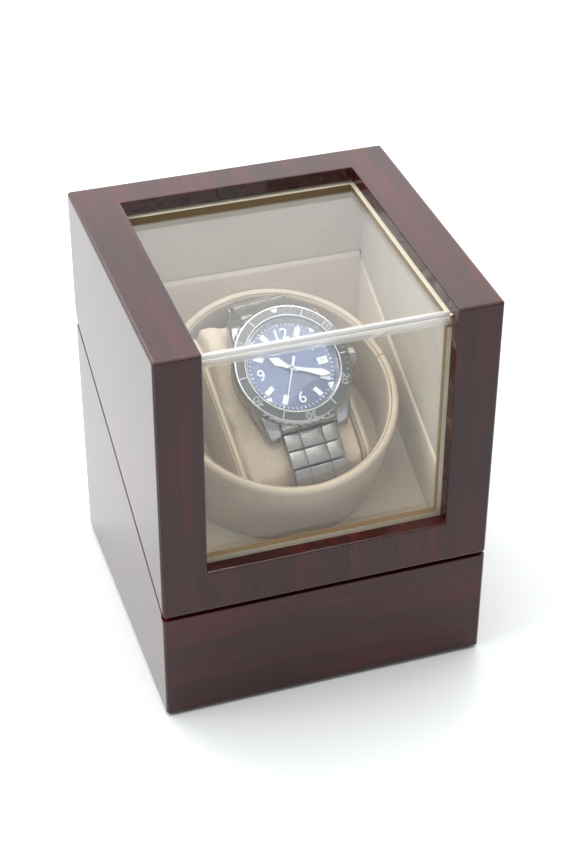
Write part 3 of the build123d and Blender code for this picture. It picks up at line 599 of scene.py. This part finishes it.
def lug(side, end):
    """One lug, curving in from the case's side to its tip, with a polished slope along its outside."""
    bm = bmesh.new()
    outline = [(11.25, 9.0), (19.2, 9.0), (18.9, 12.5), (18.2, 16.0), (17.3, 19.5), (16.3, 22.5),
               (15.3, 24.2), (14.4, 24.6), (12.0, 24.6), (11.25, 23.9)]
    prism(bm, [(x, y, -11.3) for x, y in outline], (0, 0, 8.1))
    for y, z, fall in ((12.0, -3.3, 0.18), (17.0, -4.4, 0.42), (20.0, -5.9, 0.72), (22.5, -7.9, 1.15)):
        carve(bm, (0, y, z), (0, fall, 1.0))
    carve(bm, (0, 16.0, -10.7), (0, 0.1, -1.0))
    slope = [edge for edge in bm.edges if all(v.co.x > 14.5 and v.co.z > -9.5 for v in edge.verts)
             and edge.calc_face_angle(0) > radians(60)]
    bmesh.ops.bevel(bm, geom=slope, offset=0.9, segments=1, profile=0.5, affect="EDGES", material=-1)
    bmesh.ops.remove_doubles(bm, verts=bm.verts, dist=0.02)
    rims = [edge for edge in bm.edges if edge.calc_face_angle(0) > radians(25)]
    bmesh.ops.bevel(bm, geom=rims, offset=0.15, segments=2, profile=0.5, affect="EDGES", material=-1,
                    clamp_overlap=True)
    bmesh.ops.scale(bm, vec=(side, end, 1), verts=bm.verts)
    bmesh.ops.recalc_face_normals(bm, faces=bm.faces)
    return bm


def join(bm, other):
    """Add another bmesh to this one."""
    mesh = bpy.data.meshes.new("joined")
    other.to_mesh(mesh)
    other.free()
    bm.from_mesh(mesh)
    bpy.data.meshes.remove(mesh)


bm = spun([(CASE_R - 0.5, CASE_UNDER), (CASE_R, CASE_UNDER + 0.5), (CASE_R, CASE_TOP - 0.7),
           (CASE_R - 0.7, CASE_TOP), (17.3, CASE_TOP), (17.3, -1.55), (17.0, -1.5), (16.35, -3.3),
           (16.35, -4.2), (8.0, -4.2), (8.0, CASE_BACK + 0.4), (15.0, CASE_BACK),
           (BACK_R - 0.4, CASE_BACK), (BACK_R, CASE_BACK + 0.5), (BACK_R, CASE_UNDER)], 180)
for side in (-1, 1):
    for end in (-1, 1):
        join(bm, lug(side, end))
piece("watch_case_shell", bm, watch_place, [watch_steel], "pillow", ("watch_case",), 25)

# ------------------------------------------------------------------ bracelet
# Solid steel links in rows of three, pinned together, with long brushed tops and rounded
# shoulders. Solid end links fill the space between the lugs.
band_steel = metal("band_steel", display(170, 169, 165), display(144, 143, 140), 0.2,
                   (1, 0.06, 0.09), 5200.0)
bm = copy_of("watch_bracelet", watch_place)
bmesh.ops.dissolve_limit(bm, angle_limit=radians(1), verts=bm.verts, edges=bm.edges)
rims = [edge for edge in bm.edges if edge.calc_face_angle(0) > radians(30)]
bmesh.ops.bevel(bm, geom=rims, offset=0.28, segments=3, profile=0.5, affect="EDGES", material=-1,
                clamp_overlap=True)
piece("bracelet_links", bm, watch_place, [band_steel], "pillow", ("watch_bracelet",), 35)
END_LINK = (18.6, -3.4), (20.4, -3.9), (21.8, -5.2), (22.5, -7.2), (22.5, -9.8), (18.6, -9.8)
bm = bmesh.new()
for end in (-1, 1):
    for x0, x1, drop in ((-11.0, -4.3, 0.35), (-4.1, 4.1, 0.0), (4.3, 11.0, 0.35)):
        other = bmesh.new()
        prism(other, [(x0, end * y, z - drop) for y, z in END_LINK], (x1 - x0, 0, 0))
        bmesh.ops.recalc_face_normals(other, faces=other.faces)
        rims = [edge for edge in other.edges if edge.calc_face_angle(0) > radians(50)]
        bmesh.ops.bevel(other, geom=rims, offset=0.3, segments=2, profile=0.5, affect="EDGES",
                        material=-1, clamp_overlap=True)
        join(bm, other)
piece("bracelet_end_links", bm, watch_place, [band_steel], "pillow", (), 30)

# ------------------------------------------------------------------ bezel
# A steel ring with a milled coin edge, and a dark grey ceramic ring let into it. The minute
# marks are sunk into the ceramic and filled, with a luminous pearl at twelve.
NOTCHES = 48
bm = spun([(17.62, -2.95), (17.62, -0.45), (17.95, -0.12), (18.3, -0.12), (18.42, -0.3),
           (21.3, -0.62), (21.42, -0.42), (21.95, -0.5), (22.5, -0.95), (22.85, -1.35),
           (22.9, -1.8), (22.9, -2.5), (22.6, -2.95)], NOTCHES * 6)
for vertex in bm.verts:
    reach = vertex.co.xy.length
    wave = max(0.0, cos(NOTCHES * Vector((1, 0)).angle_signed(vertex.co.xy, 0.0)))
    if reach > 22.3:
        vertex.co.xy *= 1 - 0.42 * wave * (reach - 22.2) / 0.7 / reach
piece("bezel_ring", bm, watch_place, [watch_steel], "bezel", ("watch_bezel",), 25)
INSERT_FALL = 0.115


def insert_z(reach):
    """Height of the ceramic ring's sloping top."""
    return -0.2 - (reach - 18.4) * INSERT_FALL


ceramic = moulded("grey_ceramic", display(84, 87, 88), display(68, 71, 72), 0.14)
bm = spun([(18.44, -0.4), (18.44, insert_z(18.44)), (21.3, insert_z(21.3)), (21.3, -0.72)], 180)
piece("bezel_insert", bm, watch_place, [ceramic], "bezel", (), 30)


def numeral(bm, text, size, place, thick=0.06, line=0.0):
    """Add raised figures to a bmesh, solid or drawn with a line."""
    curve = bpy.data.curves.new("figures", "FONT")
    curve.body = text
    curve.size = size
    curve.extrude = thick / 2
    curve.align_x, curve.align_y = "CENTER", "CENTER"
    if line:
        curve.fill_mode, curve.bevel_depth, curve.bevel_resolution, curve.extrude = "NONE", line, 0, 0
    holder = bpy.data.objects.new("figures", curve)
    scene.collection.objects.link(holder)
    mesh = bpy.data.meshes.new_from_object(holder.evaluated_get(bpy.context.evaluated_depsgraph_get()))
    drawn = bmesh.new()
    drawn.from_mesh(mesh)
    bmesh.ops.remove_doubles(drawn, verts=drawn.verts, dist=0.0001)
    drawn.to_mesh(mesh)
    drawn.free()
    mesh.transform(place)
    bm.from_mesh(mesh)
    bpy.data.meshes.remove(mesh)
    bpy.data.objects.remove(holder)
    bpy.data.curves.remove(curve)


def slab(bm, width, length, thick, place):
    """Add a flat bar."""
    sized = place @ Matrix.Diagonal((width, length, thick, 1))
    bmesh.ops.create_cube(bm, size=1, matrix=sized)


def on_dial(minute, reach, z, tilt=0.0):
    """A place on the face at a minute and a distance from the middle, with Y pointing outwards."""
    turn = Matrix.Rotation(-2 * pi * minute / 60, 4, "Z")
    return turn @ Matrix.Translation((0, reach, z)) @ Matrix.Rotation(-tilt, 4, "X")


def on_insert(minute, reach):
    """A place on the ceramic ring's sloping top."""
    return on_dial(minute, reach, insert_z(reach), atan(INSERT_FALL))


WIDE = Matrix.Diagonal((1.25, 1, 1, 1))
silver_fill = moulded("silver_fill", display(206, 210, 210), display(184, 188, 188), 0.35)
bm = bmesh.new()
for minute in range(60):
    if minute % 10 == 0 and minute:
        numeral(bm, str(minute), 3.6, on_insert(minute, 19.85) @ WIDE, line=0.065)
    elif minute % 5 == 0 and minute:
        slab(bm, 0.32, 2.6, 0.06, on_insert(minute, 19.87))
    elif minute < 20 and minute % 10 not in (1, 9):
        slab(bm, 0.16, 0.9, 0.06, on_insert(minute, 20.7))
prism(bm, [tuple(on_dial(0, 19.9, insert_z(19.9) - 0.03) @ Vector(point)) for point in
           ((-1.5, 1.1, 0), (1.5, 1.1, 0), (0, -1.3, 0))], (0, 0, 0.07))
piece("bezel_marks", bm, watch_place, [silver_fill], "bezel", (), 30)
lume = moulded("luminous_fill", display(246, 248, 244), display(232, 236, 230), 0.45)
bm = bmesh.new()
flattened = Matrix.Translation((0, 20.0, insert_z(20.0) + 0.05)) @ Matrix.Diagonal((1, 1, 0.5, 1))
bmesh.ops.create_uvsphere(bm, u_segments=24, v_segments=12, radius=0.62, matrix=flattened)
piece("bezel_pearl", bm, watch_place, [lume], "bezel", (), 60)

# ------------------------------------------------------------------ dial
# A brass plate lacquered blue over a sunray brushing, with applied steel markers filled with
# luminous white, printed minutes and a date window at three.
DIAL_Z = -3.5
BAR_HOURS = (1, 2, 4, 5, 7, 8, 10, 11)
BAR_REACH, TRACK_REACH, DATE_X = 12.9, 15.6, 12.4


def dial_finish():
    """Deep blue lacquer over rays brushed out from the middle, with a painted sheen that lightens two
    opposite sectors.
    """
    made = Finish("dial_lacquer", coat_roughness=0.06, ior=1.5)
    toward = made.within(watch_place)
    apart = made.node("SeparateXYZ", {}, {0: toward}, out=0)
    up = made.node("SeparateXYZ", {}, {0: toward}, out=1)
    angle = up.math("ARCTAN2", apart)
    rays = made.noise(made.node("CombineXYZ", {}, {0: angle * 14.0}), 9.0, 3.0)
    # painted sheen: two opposite sectors of the face are lighter, as where the sunray brushing catches
    # the light
    painted_sheen = (angle * 2.0 + 0.6).math("SINE") * 0.5 + 0.5
    blue = made.mix(painted_sheen * 0.5 + rays * 0.5, display(38, 48, 78), display(74, 92, 132))
    made.set(base_color=blue, roughness=rays * 0.15 + 0.28)
    made.set(metallic=rays * 0.2 + 0.1, coat_weight=rays * 0.2 + 0.5)
    return made


bm = spun([(0.02, DIAL_Z - 0.38), (16.85, DIAL_Z - 0.38), (16.85, DIAL_Z), (2.0, DIAL_Z),
           (0.5, DIAL_Z), (0.5, -1.8), (0.02, -1.75)], 120)
piece("dial_plate", bm, watch_place, [dial_finish()], "pillow", ("watch_dial",), 30)

bm = bmesh.new()
for hour in BAR_HOURS:
    slab(bm, 2.1, 4.0, 0.5, on_dial(hour * 5, BAR_REACH, DIAL_Z + 0.12))
slab(bm, 4.1, 2.9, 0.4, Matrix.Translation((DATE_X, 0, DIAL_Z + 0.1)))
piece("dial_frames", bm, watch_place, [watch_steel], "pillow", (), 30)
bm = bmesh.new()
for hour in BAR_HOURS:
    slab(bm, 1.55, 3.4, 0.5, on_dial(hour * 5, BAR_REACH, DIAL_Z + 0.18))
for minute in range(60):
    wide = 0.42 if minute % 5 == 0 else 0.2
    slab(bm, wide, 0.9, 0.06, on_dial(minute, TRACK_REACH, DIAL_Z + 0.02))
for text, x, y in (("12", 0, 11.6), ("6", 0, -11.9), ("9", -12.0, 0)):
    numeral(bm, text, 6.4, Matrix.Translation((x, y, DIAL_Z + 0.1)), 0.3)
slab(bm, 3.5, 2.4, 0.4, Matrix.Translation((DATE_X, 0, DIAL_Z + 0.13)))
piece("dial_marks", bm, watch_place, [lume], "pillow", (), 30)
bm = bmesh.new()
numeral(bm, "21", 2.3, Matrix.Translation((DATE_X, 0, DIAL_Z + 0.35)), 0.05)
piece("date_figures", bm, watch_place, [ceramic], "pillow", (), 30)

# ------------------------------------------------------------------ hands
# Stamped steel hands with a polished rim round a luminous middle. The seconds hand is a plain
# needle with a counterweight.


HAND_T = 0.25


def hand(body, outline, z, turn, thick=HAND_T, rim=0.32):
    """A flat hand from half its outline, given as (half width, distance from the middle)."""
    bm = bmesh.new()
    points = [(x, y, 0) for x, y in outline] + [(-x, y, 0) for x, y in reversed(outline) if x]
    prism(bm, points, (0, 0, thick))
    top = max(bm.faces, key=lambda face: (face.calc_center_median().z, face.calc_area()))
    bmesh.ops.inset_individual(bm, faces=[top], thickness=rim, depth=0)
    top.material_index = 1
    bmesh.ops.create_cone(bm, cap_ends=True, segments=48, radius1=1.3, radius2=1.1, depth=thick + 0.1,
                          matrix=Matrix.Translation((0, 0, thick / 2 + 0.05)))
    place = watch_place @ Matrix.Translation((0, 0, z)) @ Matrix.Rotation(-radians(turn), 4, "Z")
    finishes = [watch_steel, lume]
    piece(body + "_blade", bm, place, finishes, body, ("watch_" + body,), 30)


HOUR, MINUTE, SECONDS_TURN = 10, 19.0, 208
hand("hour_hand", [(0.0, -2.4), (0.7, -2.2), (0.8, 0.5), (0.75, 2.2), (1.8, 6.2), (0.0, 9.4)],
     DIAL_Z + 0.3, 30 * (HOUR + MINUTE / 60))
hand("minute_hand", [(0.0, -3.0), (0.6, -2.8), (0.75, 0.5), (0.7, 4.5), (1.5, 11.6), (0.0, 15.2)],
     DIAL_Z + 0.8, 6 * MINUTE)
hand("seconds_hand",
     [(0.0, -4.6), (0.55, -4.4), (0.45, -1.5), (0.25, 0.0), (0.17, 10.0), (0.12, 14.6)],
     DIAL_Z + 1.25, SECONDS_TURN, 0.18, 0.06)

# ------------------------------------------------------------------ crystal and crown
# A slightly domed sapphire, pressed into the case, and a screw-down crown with a fluted edge.


def sapphire():
    """A clear disc with the shine of its outer surface."""
    made = Finish("sapphire")
    made.tree.nodes.remove(made.tree.nodes["Principled BSDF"])
    smears = made.noise(made.place(), 60.0, 2.0)
    clear = made.node("BsdfTransparent", {}, {0: (0.97, 0.98, 1.0, 1)})
    shine = made.node("BsdfGlossy", {}, {"Color": (0.8, 0.86, 1.0, 1), "Roughness": 0.02})
    outer = made.node("Fresnel", {}, {0: 1.6}) * (1 - made.node("NewGeometry", out=6)) + smears * 0.01
    both = made.node("MixShader", {}, {0: outer, 1: clear, 2: shine})
    made.tree.links.new(both.socket, made.tree.nodes["Material Output"].inputs["Surface"])
    return made


CRYSTAL_R = 17.5
dome = [(17.2 - 17.18 * step / 10, 0.02 + 0.28 * sin(pi / 2 * step / 10)) for step in range(11)]
bm = spun([(0.02, -1.4), (CRYSTAL_R - 0.05, -1.4), (CRYSTAL_R - 0.02, -0.25)] + dome, 120)
piece("crystal_disc", bm, watch_place, [sapphire()], "pillow", ("watch_crystal",), 40)
paint(watch_steel, "watch_crown")
